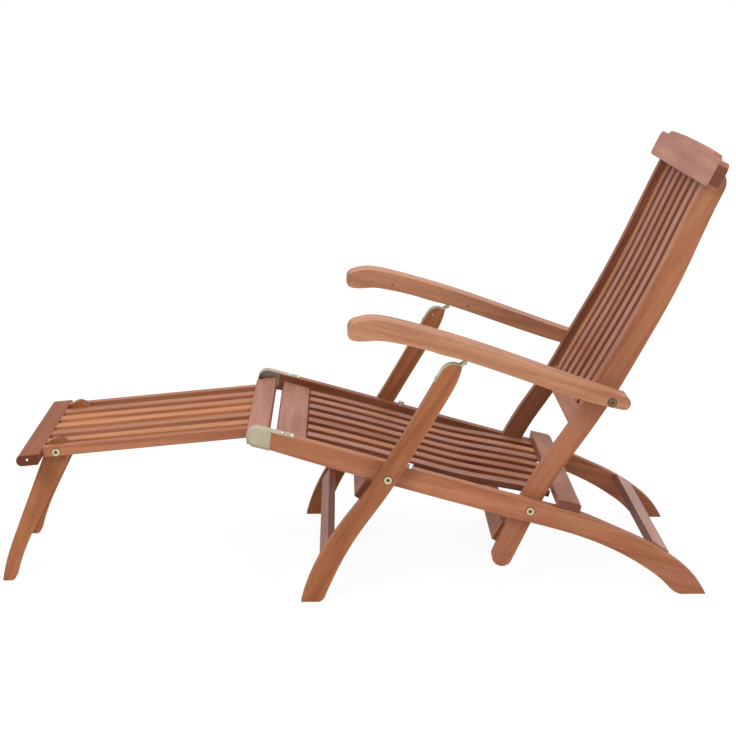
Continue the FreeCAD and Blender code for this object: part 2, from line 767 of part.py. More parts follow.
def arm_outline():
    low = arm_seat_height
    high = arm_seat_height + arm_depth
    rear = math.hypot(pivot_run, pivot_fall)
    nose_low = arm_at(9 - arm_reach, -9)
    nose_high = arm_at(12 - arm_reach, high - 17)
    seat_front = arm_at(-leaf_length - 6, low)
    seat_rear = arm_at(4, low)
    end_high = arm_at(rear + 21, arm_rear_radius)
    end_low = arm_at(rear + 26, 8 - arm_rear_radius)
    top = [
        nose_high,
        arm_at(40 - arm_reach, high - 4.5),
        arm_at(93 - arm_reach, high + 1),
        arm_at(-78, high + 0.8),
        arm_at(19, high - 3.2),
        arm_at(rear / 2, high - 14),
        end_high,
    ]
    under_rear = [
        end_low,
        arm_at(rear - 20, -10.5),
        arm_at(rear * 0.65, -7),
        arm_at(rear * 0.25, 2.5),
        seat_rear,
    ]
    under_front = [
        seat_front,
        arm_at(-96, low + 1.6),
        arm_at(-142, low - 0.3),
        arm_at(-182, low - 5.3),
        arm_at(23 - arm_reach, -9),
        nose_low,
    ]
    return [
        curve(top),
        arc(end_high, arm_at(rear + 37, 3), end_low),
        curve(under_rear),
        line(seat_rear, seat_front),
        curve(under_front),
        arc(nose_low, arm_at(-arm_reach - 1, 6), nose_high),
    ]


def make_arms():
    for word, side in sides:
        arm = side_plate("armrest_" + word, arm_outline(), arm_in, arm_out, side)
        bored(arm, [(stile_pivot, bolt_bore)])
        nodes.append(arm)
        nodes.append(bolt("arm_bolt_" + word, stile_pivot, side, stile_in + " - Sizes.piece_gap", arm_out,
                          stile_out + " + Sizes.piece_gap", arm_in))


# Back

stile_half = stile_depth / 2
crest_foot = stile_at(stile_reach, stile_lean)
crest_slope = stile_slope + crest_tilt
crest_up = (math.cos(math.radians(crest_slope)), math.sin(math.radians(crest_slope)))
crest_at = side_frame(crest_foot, (crest_foot[0] + crest_up[0], crest_foot[1] + crest_up[1]))
stile_front = [
    (-14, stile_half + 1),
    (100, stile_half + 7),
    (185, stile_half + 4),
    (296, stile_half + 10),
    (396, stile_half + 15.5),
    (530, stile_half + 27),
]


def stile_outline():
    foot_front = stile_at(-stile_foot_reach, 8)
    foot_back = stile_at(-stile_foot_reach, 8 - stile_foot_width - 2)
    lap = crest_thick - crest_proud
    notch = crest_at(0, -lap)
    tongue = crest_at(crest_height * 0.6, -lap)
    shoulder = crest_at(crest_height * 0.1, 1 - stile_depth)
    front = [foot_front] + [stile_at(u, v) for u, v in stile_front] + [crest_at(-37, 0), crest_at(0, 0)]
    back = [
        shoulder,
        crest_at(-50, -stile_depth),
        stile_at(549, 25 - stile_half),
        stile_at(391, 11 - stile_half),
        stile_at(308, 5.5 - stile_half),
        stile_at(148, 7 - stile_half),
        stile_at(69, 9 - stile_half),
        stile_at(-25, -stile_half),
        foot_back,
    ]
    return [
        curve(front),
        line(crest_at(0, 0), notch),
        line(notch, tongue),
        arc(tongue, crest_at(crest_height * 0.46, 11 - stile_depth), shoulder),
        curve(back),
        arc(foot_back, stile_at(-stile_foot_reach - 18, -12), foot_front),
    ]


def make_back_stiles():
    for word, side in sides:
        stile = side_plate("back_stile_" + word, stile_outline(), stile_in, stile_out, side)
        bored(stile, [(back_pivot, bolt_bore), (stile_pivot, bolt_bore)])
        nodes.append(stile)


def headrest_outline():
    """The crest board seen square on: a raised middle, coved down to rounded ears."""
    half = half_width - leg_thick - leg_gap - rail_thick - side_gap + crest_overhang
    inner = half - crest_ear_width
    rise = crest_height - crest_arch
    crown = 18
    toe = 13
    cove = 26
    edges = [line((toe - half, 0), (half - toe, 0)), arc((-inner, rise), (0, crest_height), (inner, rise))]
    for side in (-1, 1):
        edges.append(arc((side * (half - toe), 0), (side * (half - 0.29 * toe), 0.29 * toe), (side * half, toe)))
        edges.append(line((side * half, toe), (side * half, crest_ear - crown)))
        edges.append(arc((side * half, crest_ear - crown),
                         (side * (half - 0.29 * crown), crest_ear - 0.29 * crown),
                         (side * (half - crown), crest_ear)))
        edges.append(line((side * (half - crown), crest_ear), (side * (inner + cove), crest_ear)))
        edges.append(arc((side * (inner + cove), crest_ear),
                         (side * (inner + 0.4 * cove), crest_ear + 0.35 * (rise - crest_ear)),
                         (side * inner, rise)))
    return edges


def make_headrest():
    body, sketch = body_with_sketch("headrest", "YZ_Plane", headrest_outline())
    padded(body, sketch, "Sizes.crest_thick - 0.2")
    rounded(body)
    centre = crest_at(0.2, crest_proud - crest_thick / 2)
    body.Placement = Placement(Vector(centre[0], 0, centre[1]), Rotation(Vector(0, -1, 0), crest_slope - 90))
    nodes.append(body)


def make_back_slats():
    start = bottom_board_reach + bottom_board_width + 2 * piece_gap
    stations = [(start, stile_half + 5 - back_recess)]
    stations += [(u, v - back_recess) for u, v in stile_front[3:]]
    front = [stile_at(u, v) for u, v in stations]
    front += [crest_at(-37, -back_recess), crest_at(0, -back_recess)]
    back = [stile_at(u, v - back_slat_thick) for u, v in stations]
    back += [crest_at(-37, -back_recess - back_slat_thick), crest_at(0, -back_recess - back_slat_thick)]
    for i in range(7):
        edges = [curve(front), line(front[-1], back[-1]), curve(back[::-1]), line(back[0], front[0])]
        slat = plate("back_slat_%d" % (i + 1), edges, "Sizes.back_slat_width",
                     "%d * %s" % (i - 3, back_pitch))
        rounded(slat)
        nodes.append(slat)


def make_back_boards():
    span = "2 * " + stile_in
    bottom = stile_at(bottom_board_reach, stile_half + 4.5 - back_recess)
    nodes.append(board("back_bottom_rail", bottom, stile_slope + 1.5, "Sizes.bottom_board_width",
                       "Sizes.board_thick", span))
    low = stile_at(-low_board_reach, stile_half - 11 + low_board_proud)
    nodes.append(board("back_lowest_rail", low, stile_slope, "Sizes.low_board_width",
                       "Sizes.board_thick", span))


# Footrest, with places measured from its tenon towards the feet

foot_cos = math.cos(math.radians(foot_tilt))
foot_sin = math.sin(math.radians(foot_tilt))


def foot_at(along, up):
    return (foot_pivot[0] - along * foot_cos - up * foot_sin, foot_pivot[1] - along * foot_sin + up * foot_cos)


foot_hinge = foot_at(foot_run - foot_leg_inset, -foot_leg_drop)
foot_end = (foot_hinge[0] - foot_leg_splay, 0)
foot_leg = side_frame(foot_hinge, foot_end)
foot_leg_share = share_frame(foot_hinge, foot_end)
plank_half = foot_plank_width / 2


def foot_box(run_from, run_to, top, depth):
    """Corners of a straight piece that lies along the footrest."""
    return closed([foot_at(run_from, top), foot_at(run_to, top), foot_at(run_to, top - depth),
                   foot_at(run_from, top - depth)])


def make_foot_rails():
    for word, side in sides:
        edges = foot_box(plank_half, foot_run, foot_rail_top, foot_rail_depth)
        rail = side_plate("footrest_rail_" + word, edges, foot_in, foot_out, side)
        rounded(rail)
        bored(rail, [(foot_hinge, bolt_bore)])
        nodes.append(rail)
        nodes.append(bolt("footrest_leg_bolt_" + word, foot_hinge, side, foot_leg_in + " - Sizes.piece_gap",
                          foot_out, foot_leg_out + " + Sizes.piece_gap", foot_in))


def make_foot_slats():
    for i in range(5):
        edges = foot_box(plank_half, foot_run, foot_slat_top, foot_slat_thick)
        slat = plate("footrest_slat_%d" % (i + 1), edges, "Sizes.foot_slat_width",
                     "%d * %s" % (i - 2, foot_pitch))
        rounded(slat)
        nodes.append(slat)


def make_foot_end_bar():
    """The thick outer bar. Its lower inner edge is bevelled where the opened legs come to rest."""
    reach = -foot_head_radius - piece_gap
    stop_a = foot_leg(0, reach)
    stop_b = foot_leg(100, reach)
    top = end_bar_top
    low = end_bar_top - end_bar_thick
    outer = foot_run + end_bar_width
    bevel_high = crossing(stop_a, stop_b, foot_at(foot_run, top), foot_at(foot_run, low))
    bevel_low = crossing(stop_a, stop_b, foot_at(foot_run, low), foot_at(outer, low))
    edges = lines([foot_at(outer - 9, low), bevel_low, bevel_high, foot_at(foot_run, top), foot_at(outer - 9, top)])
    edges.append(arc(foot_at(outer - 9, top), foot_at(outer, (top + low) / 2), foot_at(outer - 9, low)))
    bar = plate("footrest_end_bar", edges, "2 * (" + foot_out + " + Sizes.end_bar_overhang)")
    rounded(bar)
    nodes.append(bar)


def make_foot_plank():
    """The inner board of the footrest, with a round tenon turned on each end."""
    edges = foot_box(-plank_half, plank_half, foot_rail_top, foot_rail_depth)
    plank = plate("footrest_rear_plank_board", edges, "2 * " + plank_end)
    rounded(plank)
    tenon_end = "(" + rail_out + " - Sizes.bracket_plate_inset - Sizes.bracket_plate_thick - Sizes.tenon_play)"
    tenon = rod("footrest_rear_plank_tenon", "Sizes.tenon_radius", "(0 - " + tenon_end + ")", tenon_end,
                foot_pivot, 1)
    nodes.append(fused("footrest_rear_plank", [plank, tenon]))


def foot_leg_outline():
    radius = foot_head_radius
    toe = (foot_end[0] - foot_leg_end / 2, 0)
    heel = (foot_end[0] + foot_leg_end / 2, 0)
    heel_middle = foot_leg_share(0.972, foot_leg_end / 2 + 2.2)
    heel_high = foot_leg_share(0.945, foot_leg_end / 2 + 3.6)
    outer_top = foot_leg(0, -radius)
    outer_bend = foot_leg_share(0.54, 2 - radius)
    inner_top = foot_leg(0, radius)
    outer = [outer_bend, foot_leg_share(0.73, 3 - radius), foot_leg_share(0.9, 7 - radius), toe]
    inner = [heel_high, foot_leg_share(0.74, radius - 12.9), foot_leg_share(0.48, radius - 8),
             foot_leg_share(0.27, radius - 2.5), foot_leg_share(0.12, radius + 2), inner_top]
    return [
        line(outer_top, outer_bend),
        curve(outer),
        line(toe, heel),
        arc(heel, heel_middle, heel_high),
        curve(inner),
        arc(inner_top, foot_leg(-radius, 0), outer_top),
    ]


def make_foot_legs():
    for word, side in sides:
        leg = side_plate("footrest_leg_" + word, foot_leg_outline(), foot_leg_in, foot_leg_out, side)
        bored(leg, [(foot_hinge, bolt_bore)])
        nodes.append(leg)


make_seat_rails()
make_seat_plank()
make_seat_slats()
make_seat_battens()
make_seat_rear_rail()
make_rear_leg_rail()
make_brackets()
make_bracket_screws()
make_pivot_bolts()
make_leg_stop_studs()
make_front_legs()
make_front_leg_stretcher()
make_front_leg_stop_rail()
make_leg_straps()
make_arms()
make_arm_leaves()
make_back_stiles()
make_headrest()
make_back_slats()
make_back_boards()
make_foot_rails()
make_foot_slats()
make_foot_end_bar()
make_foot_plank()
make_foot_legs()
doc.recompute()

# The chair is moved so that its origin is on the floor, under the middle of its length
low_x = min(node.Shape.BoundBox.XMin for node in nodes)
high_x = max(node.Shape.BoundBox.XMax for node in nodes)
middle_x = (low_x + high_x) / 2
for node in nodes:
    place = node.Placement
    place.Base.x = place.Base.x - middle_x
    node.Placement = place
doc.recompute()

for item in doc.Objects:
    if "Invalid" in item.State or "Error" in item.State:
        raise RuntimeError("failed: " + item.Label)
for node in nodes:
    if node.Shape.isNull() or not node.Shape.isValid():
        raise RuntimeError("bad shape: " + node.Label)

os.makedirs("parts", exist_ok=True)
for node in nodes:
    node.Shape.exportStep("parts/" + node.Label + ".step")
print("pieces", len(nodes), "middle at", round(middle_x, 3))
for label, pivot in (("leg", leg_pivot), ("back", back_pivot), ("arm", arm_pivot), ("stile", stile_pivot),
                     ("foot", foot_pivot), ("foot hinge", foot_hinge)):
    print(label, "pivot", round(pivot[0] - middle_x, 3), round(pivot[1], 3))
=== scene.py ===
import json
import math

import bmesh
import bpy
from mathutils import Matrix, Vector


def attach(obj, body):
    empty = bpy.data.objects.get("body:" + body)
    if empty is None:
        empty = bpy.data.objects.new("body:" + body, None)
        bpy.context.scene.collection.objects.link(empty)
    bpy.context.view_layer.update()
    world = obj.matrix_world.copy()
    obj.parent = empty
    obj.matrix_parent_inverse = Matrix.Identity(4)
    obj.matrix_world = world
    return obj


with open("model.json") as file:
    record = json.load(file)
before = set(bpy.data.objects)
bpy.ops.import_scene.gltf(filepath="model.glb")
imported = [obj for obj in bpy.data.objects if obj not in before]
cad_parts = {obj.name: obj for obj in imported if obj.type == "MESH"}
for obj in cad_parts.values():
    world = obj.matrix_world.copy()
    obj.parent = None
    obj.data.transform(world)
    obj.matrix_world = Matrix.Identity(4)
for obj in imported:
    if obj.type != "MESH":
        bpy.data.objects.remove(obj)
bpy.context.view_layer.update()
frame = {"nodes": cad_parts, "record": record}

# Steamer deck chair: oiled hardwood boards and slats, brass straps, bright steel bolts.
# The solids carry every shape, so this file gives them their wood, brass and steel,
# and adds the small hardware that is drilled or driven into them.
# Lengths are in metres. The footrest is at the chair's -X end, and its left side at -Y.

# Directions of the grain, as the angle of each piece above +X in degrees
SEAT_SLOPE = -14.9
STILE_SLOPE = 57.5
ARM_SLOPE = -16.0
FOOT_SLOPE = 5.4
FRONT_LEG_SLOPE = 57.8
FOOT_LEG_SLOPE = 68.0
ACROSS = "across"

GRAIN = {
    "seat_rail": SEAT_SLOPE,
    "seat_slat": SEAT_SLOPE,
    "seat_front_plank": ACROSS,
    "seat_batten": ACROSS,
    "seat_rear_rail": ACROSS,
    "rear_leg_rail": ACROSS,
    "back_stile": STILE_SLOPE,
    "back_slat": STILE_SLOPE,
    "back_bottom_rail": ACROSS,
    "back_lowest_rail": ACROSS,
    "headrest": ACROSS,
    "armrest": ARM_SLOPE,
    "front_leg_stretcher": ACROSS,
    "front_leg_stop_rail": ACROSS,
    "front_leg_left": FRONT_LEG_SLOPE,
    "front_leg_right": FRONT_LEG_SLOPE,
    "footrest_rail": FOOT_SLOPE,
    "footrest_slat": FOOT_SLOPE,
    "footrest_end_bar": ACROSS,
    "footrest_rear_plank": ACROSS,
    "footrest_leg_left": FOOT_LEG_SLOPE,
    "footrest_leg_right": FOOT_LEG_SLOPE,
}

# Light, middle and dark streaks of each wood as they look in plain light,
# red, green and blue from 0 to 255
ORANGE_WOOD = ((185, 130, 97), (165, 105, 74), (137, 79, 51))
AMBER_WOOD = ((178, 120, 82), (157, 97, 61), (129, 73, 41))
PINK_WOOD = ((183, 132, 113), (161, 108, 89), (126, 76, 60))
PALE_WOOD = ((197, 147, 115), (178, 125, 94), (150, 96, 68))
HONEY_WOOD = ((203, 143, 98), (184, 120, 77), (153, 90, 54))
ROSE_WOOD = ((206, 161, 149), (190, 143, 131), (163, 115, 103))
RUSSET_WOOD = ((155, 92, 56), (136, 71, 40), (109, 51, 24))
DARK_WOOD = ((171, 115, 89), (146, 90, 64), (113, 63, 42))
# The dark wood of the painted shadow round the bolt heads
BORE_SHADOW_TONE = ((96, 60, 44), (78, 46, 32), (58, 32, 22))

# The woods that the pieces of a family take in turn; the others are of ORANGE_WOOD
TONES = {
    "seat_slat": (ORANGE_WOOD, PINK_WOOD, ORANGE_WOOD, DARK_WOOD),
    "back_slat": (ORANGE_WOOD, DARK_WOOD, ORANGE_WOOD, PINK_WOOD),
    "footrest_slat": (HONEY_WOOD, ORANGE_WOOD, HONEY_WOOD),
    "armrest": (PALE_WOOD,),
    "front_leg_left": (AMBER_WOOD,),
    "front_leg_right": (AMBER_WOOD,),
    "footrest_leg_left": (AMBER_WOOD,),
    "footrest_leg_right": (AMBER_WOOD,),
    "headrest": (PINK_WOOD,),
    "seat_rear_rail": (PINK_WOOD,),
    "rear_leg_rail": (ROSE_WOOD,),
    "seat_front_plank": (PINK_WOOD,),
    "footrest_rear_plank": (PINK_WOOD,),
    "footrest_end_bar": (RUSSET_WOOD,),
    "front_leg_stretcher": (PINK_WOOD,),
    "front_leg_stop_rail": (DARK_WOOD,),
}

# Faces painted darker as shade, where less light reaches them: the sides of the slats, the inner
# faces of paired pieces, and a few edges. Each entry has the direction that the face looks in,
# the share of the painted shade colour on it, and for the seat rails where that fades.
LEFT_INNER = (0, 1, 0)
RIGHT_INNER = (0, -1, 0)
FRONT_EDGE = (-0.85, 0, 0.5)
REAR_EDGE = (0.5, 0, 0.85)
RAIL_UP = (0.258, 0, 0.966)
# Where the seat rail turns into the rear leg, as a stretch of its length from 0 to 1
LEG_ROOT = (0.58, 0.68)
# The colour that multiplies the faces in painted shade
PAINTED_SHADE = (0.5, 0.42, 0.38, 1)
PAINTED_SHADE_FACES = {
    "seat_slat": ((LEFT_INNER, 1.0), (RIGHT_INNER, 1.0)),
    "back_slat": ((LEFT_INNER, 1.0), (RIGHT_INNER, 1.0)),
    "footrest_slat": ((LEFT_INNER, 0.35), (RIGHT_INNER, 0.35)),
    "rear_leg_rail": ((FRONT_EDGE, 1.0), (FRONT_EDGE, 0.6)),
    "front_leg_stretcher": ((REAR_EDGE, 0.4),),
    "seat_rail_left": ((LEFT_INNER, 1.0, LEG_ROOT),),
    "seat_rail_right": ((RIGHT_INNER, 1.0, LEG_ROOT), (RAIL_UP, 0.45, LEG_ROOT)),
    "back_stile_left": ((LEFT_INNER, 1.0),),
    "back_stile_right": ((RIGHT_INNER, 1.0), (FRONT_EDGE, 0.8)),
    "front_leg_left": ((LEFT_INNER, 0.15),),
    "front_leg_right": ((RIGHT_INNER, 0.15),),
    "footrest_rail_left": ((LEFT_INNER, 0.5),),
    "footrest_rail_right": ((RIGHT_INNER, 0.5),),
}


# Shader nodes

NONE = (0, 0, 0, 1)
ALL = (1, 1, 1, 1)

# The sockets of a colour mix, by number
MIX_SHARE = 0
MIX_FIRST = 6
MIX_SECOND = 7
MIX_RESULT = 2


def linear(colour):
    """A colour of 0 to 255 as the linear values that a shader takes."""
    out = []
    for part in colour:
        share = part / 255
        out.append(share / 12.92 if share <= 0.04045 else ((share + 0.055) / 1.055) ** 2.4)
    return (*out, 1)


def times(colour, factor):
    return (*(part * factor for part in colour[:3]), 1)


class Nodes:
    """A material's node tree. A source is a node with the name or number of its output."""

    def __init__(self, name):
        self.material = bpy.data.materials.new(name)
        self.material.use_nodes = True
        self.tree = self.material.node_tree
        self.shader = self.tree.nodes["Principled BSDF"]

    def add(self, kind, values=None, **settings):
        node = self.tree.nodes.new(kind)
        for key, value in settings.items():
            setattr(node, key, value)
        for key, value in (values or {}).items():
            node.inputs[key].default_value = value
        return node

    def link(self, source, target, socket):
        node, output = source
        self.tree.links.new(node.outputs[output], target.inputs[socket])

    def fill(self, target, socket, value):
        """Links a source to a socket, or sets a plain value on it."""
        if isinstance(value, tuple) and isinstance(value[0], bpy.types.Node):
            self.link(value, target, socket)
        else:
            target.inputs[socket].default_value = value

    def moved(self, place, values):
        """A place after a mapping's turn, stretch or shift."""
        node = self.add("ShaderNodeMapping", values)
        self.link(place, node, "Vector")
        return node, "Vector"

    def noise(self, place, scale, detail, roughness=0.5, distortion=0.0):
        node = self.add("ShaderNodeTexNoise", {"Scale": scale, "Detail": detail,
                                               "Roughness": roughness, "Distortion": distortion})
        self.link(place, node, "Vector")
        return node, "Fac"

    def ramp(self, stops, source):
        node = self.add("ShaderNodeValToRGB")
        elements = node.color_ramp.elements
        while len(elements) < len(stops):
            elements.new(0.5)
        for element, (place, colour) in zip(elements, stops):
            element.position = place
            element.color = colour
        self.link(source, node, "Fac")
        return node, "Color"

    def ranged(self, source, span, onto):
        """A source's span of values spread onto another span."""
        node = self.add("ShaderNodeMapRange", {"From Min": span[0], "From Max": span[1],
                                               "To Min": onto[0], "To Max": onto[1]})
        self.link(source, node, "Value")
        return node, "Result"

    def mixed(self, blend, share, first, second):
        """A colour mix of sources or plain values."""
        node = self.add("ShaderNodeMix", data_type="RGBA", blend_type=blend)
        for socket, value in ((MIX_SHARE, share), (MIX_FIRST, first), (MIX_SECOND, second)):
            self.fill(node, socket, value)
        return node, MIX_RESULT

    def dot(self, first, second):
        node = self.add("ShaderNodeVectorMath", operation="DOT_PRODUCT")
        self.fill(node, 0, first)
        self.fill(node, 1, second)
        return node, "Value"

    def bump(self, height, strength, distance):
        node = self.add("ShaderNodeBump", {"Strength": strength, "Distance": distance})
        self.link(height, node, "Height")
        self.link((node, "Normal"), self.shader, "Normal")


# Wood. A SCALE is the noise cells per metre along the grain and across it, a SHIFT moves
# them by shares of a board's seed, a NOISE is scale, detail, roughness and distortion,
# and a BUMP is its strength and depth.

STREAK_SCALE = (2.6, 52, 52)
STREAK_SHIFT = (3.7, 1.3, 1)
STREAK_NOISE = (1.0, 5, 0.6, 0.5)
STREAK_STOPS = (0.22, 0.5, 0.78)
PATCH_SCALE = (3, 9, 9)
PATCH_SHIFT = (1, 2, 0)
PATCH_NOISE = (1.0, 2)
PATCH_STOPS = ((0.35, (0.84, 0.80, 0.78, 1)), (0.65, (1.1, 1.08, 1.06, 1)))
PATCH_SHARE = 0.75
PORE_SCALE = (60, 900, 900)
PORE_SHIFT = (1, 0, 1)
PORE_NOISE = (1.0, 3, 0.65)
PORE_STOPS = ((0.34, (0.55, 0.5, 0.48, 1)), (0.48, ALL))
PORE_SHARE = 0.5
PORE_BUMP = (0.22, 0.0006)
END_STOPS = ((0.75, NONE), (0.93, ALL))
END_NOISE = (420, 4, 0.7)
END_RINGS = (0.3, 0.7)
END_TONES = (0.5, 1.05)
EDGE_RADIUS = 0.0022
EDGE_SAMPLES = 4
EDGE_STOPS = ((0.86, ALL), (0.985, NONE))
# How much paler the edges are painted, as wear and as a painted highlight
EDGE_WEAR_AND_HIGHLIGHT = (1.45, 1.5, 1.5, 1)
FACING_NONE = 0.35
FACING_FULL = 0.8
LEFT_AFTER_FADE = 0.2
WOOD_ROUGHNESS = (0.42, 0.62)
WOOD_SPECULAR = 0.2


def grain_turn(grain):
    """The turn that brings a piece's grain onto the texture's X axis."""
    if grain == ACROSS:
        return (0, 0, math.radians(90))
    return (0, math.radians(grain), 0)


def grain_axis(grain):
    if grain == ACROSS:
        return (0, 1, 0)
    return (math.cos(math.radians(grain)), 0, math.sin(math.radians(grain)))


def grained(made, lengthwise, scale, shift, noise, seed):
    """Noise that is stretched along the grain, in a place of its own for each seed."""
    place = made.moved(lengthwise, {"Scale": scale,
                                    "Location": tuple(seed * share for share in shift)})
    return made.noise(place, *noise)


def board_colour(made, lengthwise, streaks, pores, tone, seed):
    """Streaks of the tone, broad redder or paler patches, and short open pores."""
    light, middle, dark = tone
    coloured = made.ramp(tuple(zip(STREAK_STOPS, (dark, middle, light))), streaks)
    patches = grained(made, lengthwise, PATCH_SCALE, PATCH_SHIFT, PATCH_NOISE, seed)
    coloured = made.mixed("MULTIPLY", PATCH_SHARE, coloured, made.ramp(PATCH_STOPS, patches))
    return made.mixed("MULTIPLY", PORE_SHARE, coloured, made.ramp(PORE_STOPS, pores))


def with_end_grain(made, here, grain, coloured, dark):
    """End grain soaks up oil and is darker."""
    along = made.add("ShaderNodeMath", operation="ABSOLUTE")
    made.link(made.dot((here, "Normal"), grain_axis(grain)), along, 0)
    rings = made.noise((here, "Object"), *END_NOISE)
    end_tones = (times(dark, factor) for factor in END_TONES)
    end_colour = made.ramp(tuple(zip(END_RINGS, end_tones)), rings)
    return made.mixed("MIX", made.ramp(END_STOPS, (along, "Value")), coloured, end_colour)


def with_worn_and_highlit_edges(made, streaks, coloured):
    """Edges paler, partly from wear in handling and partly as a painted highlight."""
    round_off = made.add("ShaderNodeBevel", {"Radius": EDGE_RADIUS}, samples=EDGE_SAMPLES)
    geometry = made.add("ShaderNodeNewGeometry")
    wear_and_highlight = made.ramp(EDGE_STOPS, made.dot((round_off, "Normal"), (geometry, "Normal")))
    share = made.mixed("MULTIPLY", 1.0, wear_and_highlight, streaks)
    paler = made.mixed("MULTIPLY", 1.0, coloured, EDGE_WEAR_AND_HIGHLIGHT)
    return made.mixed("MIX", share, coloured, paler)


def painted_shade_share(made, here, direction, most, fades=None):
    """A share of painted shade that rises to its most as a face turns towards the direction.

    Over the stretch that fades names, of the piece's length from 0 to 1, the share drops.
    """
    towards = made.dot((here, "Normal"), direction)
    share = made.ramp(((FACING_NONE, NONE), (FACING_FULL, (most, most, most, 1))), towards)
    if fades is None:
        return share
    along = made.add("ShaderNodeSeparateXYZ")
    made.link((here, "Generated"), along, 0)
    product = made.add("ShaderNodeMath", operation="MULTIPLY")
    made.link(share, product, 0)
    made.link(made.ranged((along, "X"), fades, (1.0, LEFT_AFTER_FADE)), product, 1)
    return product, "Value"


def wood(name, grain, tone, seed, shade_faces=()):
    """Oiled hardwood: streaks and pores along the grain, darker end grain, edges paler from wear
    and a painted highlight, painted shade on some faces, a soft sheen.
    """
    made = Nodes(name)
    tone = tuple(linear(colour) for colour in tone)
    here = made.add("ShaderNodeTexCoord")
    lengthwise = made.moved((here, "Object"), {"Rotation": grain_turn(grain)})
    streaks = grained(made, lengthwise, STREAK_SCALE, STREAK_SHIFT, STREAK_NOISE, seed)
    pores = grained(made, lengthwise, PORE_SCALE, PORE_SHIFT, PORE_NOISE, seed)

    coloured = board_colour(made, lengthwise, streaks, pores, tone, seed)
    coloured = with_end_grain(made, here, grain, coloured, tone[-1])
    coloured = with_worn_and_highlit_edges(made, streaks, coloured)
    # Painted shade on the faces that less light reaches
    for shade_face in shade_faces:
        share = painted_shade_share(made, here, *shade_face)
        coloured = made.mixed("MULTIPLY", share, coloured, PAINTED_SHADE)

    made.link(coloured, made.shader, "Base Color")
    made.link(made.ranged(streaks, (0, 1), WOOD_ROUGHNESS), made.shader, "Roughness")
    made.bump(pores, *PORE_BUMP)
    made.shader.inputs["Specular IOR Level"].default_value = WOOD_SPECULAR
    return made.material


# Metal. The clouds have the scale of each metal, and the brush marks are finer.

CLOUD_DETAIL = 5
CLOUD_ROUGHNESS = 0.6
CLOUD_STOPS = (0.35, 0.65)
TARNISH_ROUGHER = 0.12
RUBBED_SMOOTHER = 0.06
BRUSH_FINER = 12
BRUSH_DETAIL = 3
BRUSH_BUMP = (0.08, 0.0003)


def metal(name, colour, tarnish, roughness, scale):
    """Sheet or turned metal, clouded by handling and rubbed bright in places."""
    made = Nodes(name)
    here = (made.add("ShaderNodeTexCoord"), "Object")
    clouds = made.noise(here, scale, CLOUD_DETAIL, CLOUD_ROUGHNESS)
    tint = made.ramp(tuple(zip(CLOUD_STOPS, (linear(tarnish), linear(colour)))), clouds)
    made.link(tint, made.shader, "Base Color")
    span = (roughness + TARNISH_ROUGHER, roughness - RUBBED_SMOOTHER)
    made.link(made.ranged(clouds, (0, 1), span), made.shader, "Roughness")
    made.bump(made.noise(here, scale * BRUSH_FINER, BRUSH_DETAIL), *BRUSH_BUMP)
    made.shader.inputs["Metallic"].default_value = 1.0
    return made.material


brass = metal("brass", (186, 176, 152), (168, 159, 136), 0.38, 30)
steel = metal("steel", (214, 204, 170), (182, 172, 136), 0.3, 160)
# A dark metal that paints the shade in the bolt heads' key holes and in the rings round the
# bracket screws
shade_bronze = metal("shade_bronze", (104, 94, 70), (58, 50, 36), 0.5, 300)
aged_bronze = metal("aged_bronze", (142, 120, 94), (92, 76, 56), 0.45, 300)
silver = metal("silver", (250, 250, 248), (226, 226, 222), 0.3, 260)
brown_screw = metal("brown_screw", (168, 128, 98), (120, 84, 60), 0.45, 300)
# Dark wood for the painted shadow round the bolt heads
bore_shadow_wood = wood("bore_shadow_wood", ACROSS, BORE_SHADOW_TONE, 5)


# The solids take their materials

DOME_WIDTH = 0.0035
DOME_SEGMENTS = 5
FIRST_SEED = 1
SEED_STEP = 0.37
slots = {entry["node"]: entry["material_slot"] for entry in frame["record"]["subparts"]}


def family(node, table):
    """The longest key of a table that a node's name starts with."""
    return max((key for key in table if node.startswith(key)), key=len, default=None)


def wood_of(node, count):
    key = family(node, GRAIN)
    tones = TONES.get(key, (ORANGE_WOOD,))
    return wood("wood_" + node, GRAIN[key], tones[count % len(tones)],
                FIRST_SEED + count * SEED_STEP, PAINTED_SHADE_FACES.get(family(node, PAINTED_SHADE_FACES), ()))


def finish_node(node, count):
    if node == "leg_stop_studs":
        material = silver
        dome = frame["nodes"][node].modifiers.new("dome", "BEVEL")
        dome.width = DOME_WIDTH
        dome.segments = DOME_SEGMENTS
        dome.limit_method = "ANGLE"
    elif node.startswith("arm_bolt"):
        material = aged_bronze
    elif slots[node] == "brass":
        material = brass
    elif slots[node] == "steel":
        material = steel
    else:
        material = wood_of(node, count)
    mesh = frame["nodes"][node].data
    mesh.materials.clear()
    mesh.materials.append(material)


for count, node in enumerate(sorted(frame["nodes"])):
    finish_node(node, count)


# Small hardware: sockets in the bolt heads, screws in the straps, arms and legs, and rings of
# painted shadow round the bolt heads and bracket screws

SEGMENTS = 32
FULL_TURN = 2 * math.pi
SIDES = (("left", -1), ("right", 1))
SHARP_EDGE = math.radians(40)


def corner_of(node):
    """The lowest and highest corner of a node at rest."""
    thing = frame["nodes"][node]
    points = [thing.matrix_world @ vertex.co for vertex in thing.data.vertices]
    return [[pick(point[axis] for point in points) for axis in range(3)] for pick in (min, max)]


def shaped_ring(mesh, radius_at, height):
    """A closed ring of vertices about the Z axis, with a radius for each angle."""
    made = []
    for step in range(SEGMENTS):
        angle = FULL_TURN * step / SEGMENTS
        radius = radius_at(angle)
        made.append(mesh.verts.new((radius * math.cos(angle), radius * math.sin(angle), height)))
    return made


def ring(mesh, radius, height):
    return shaped_ring(mesh, lambda angle: radius, height)


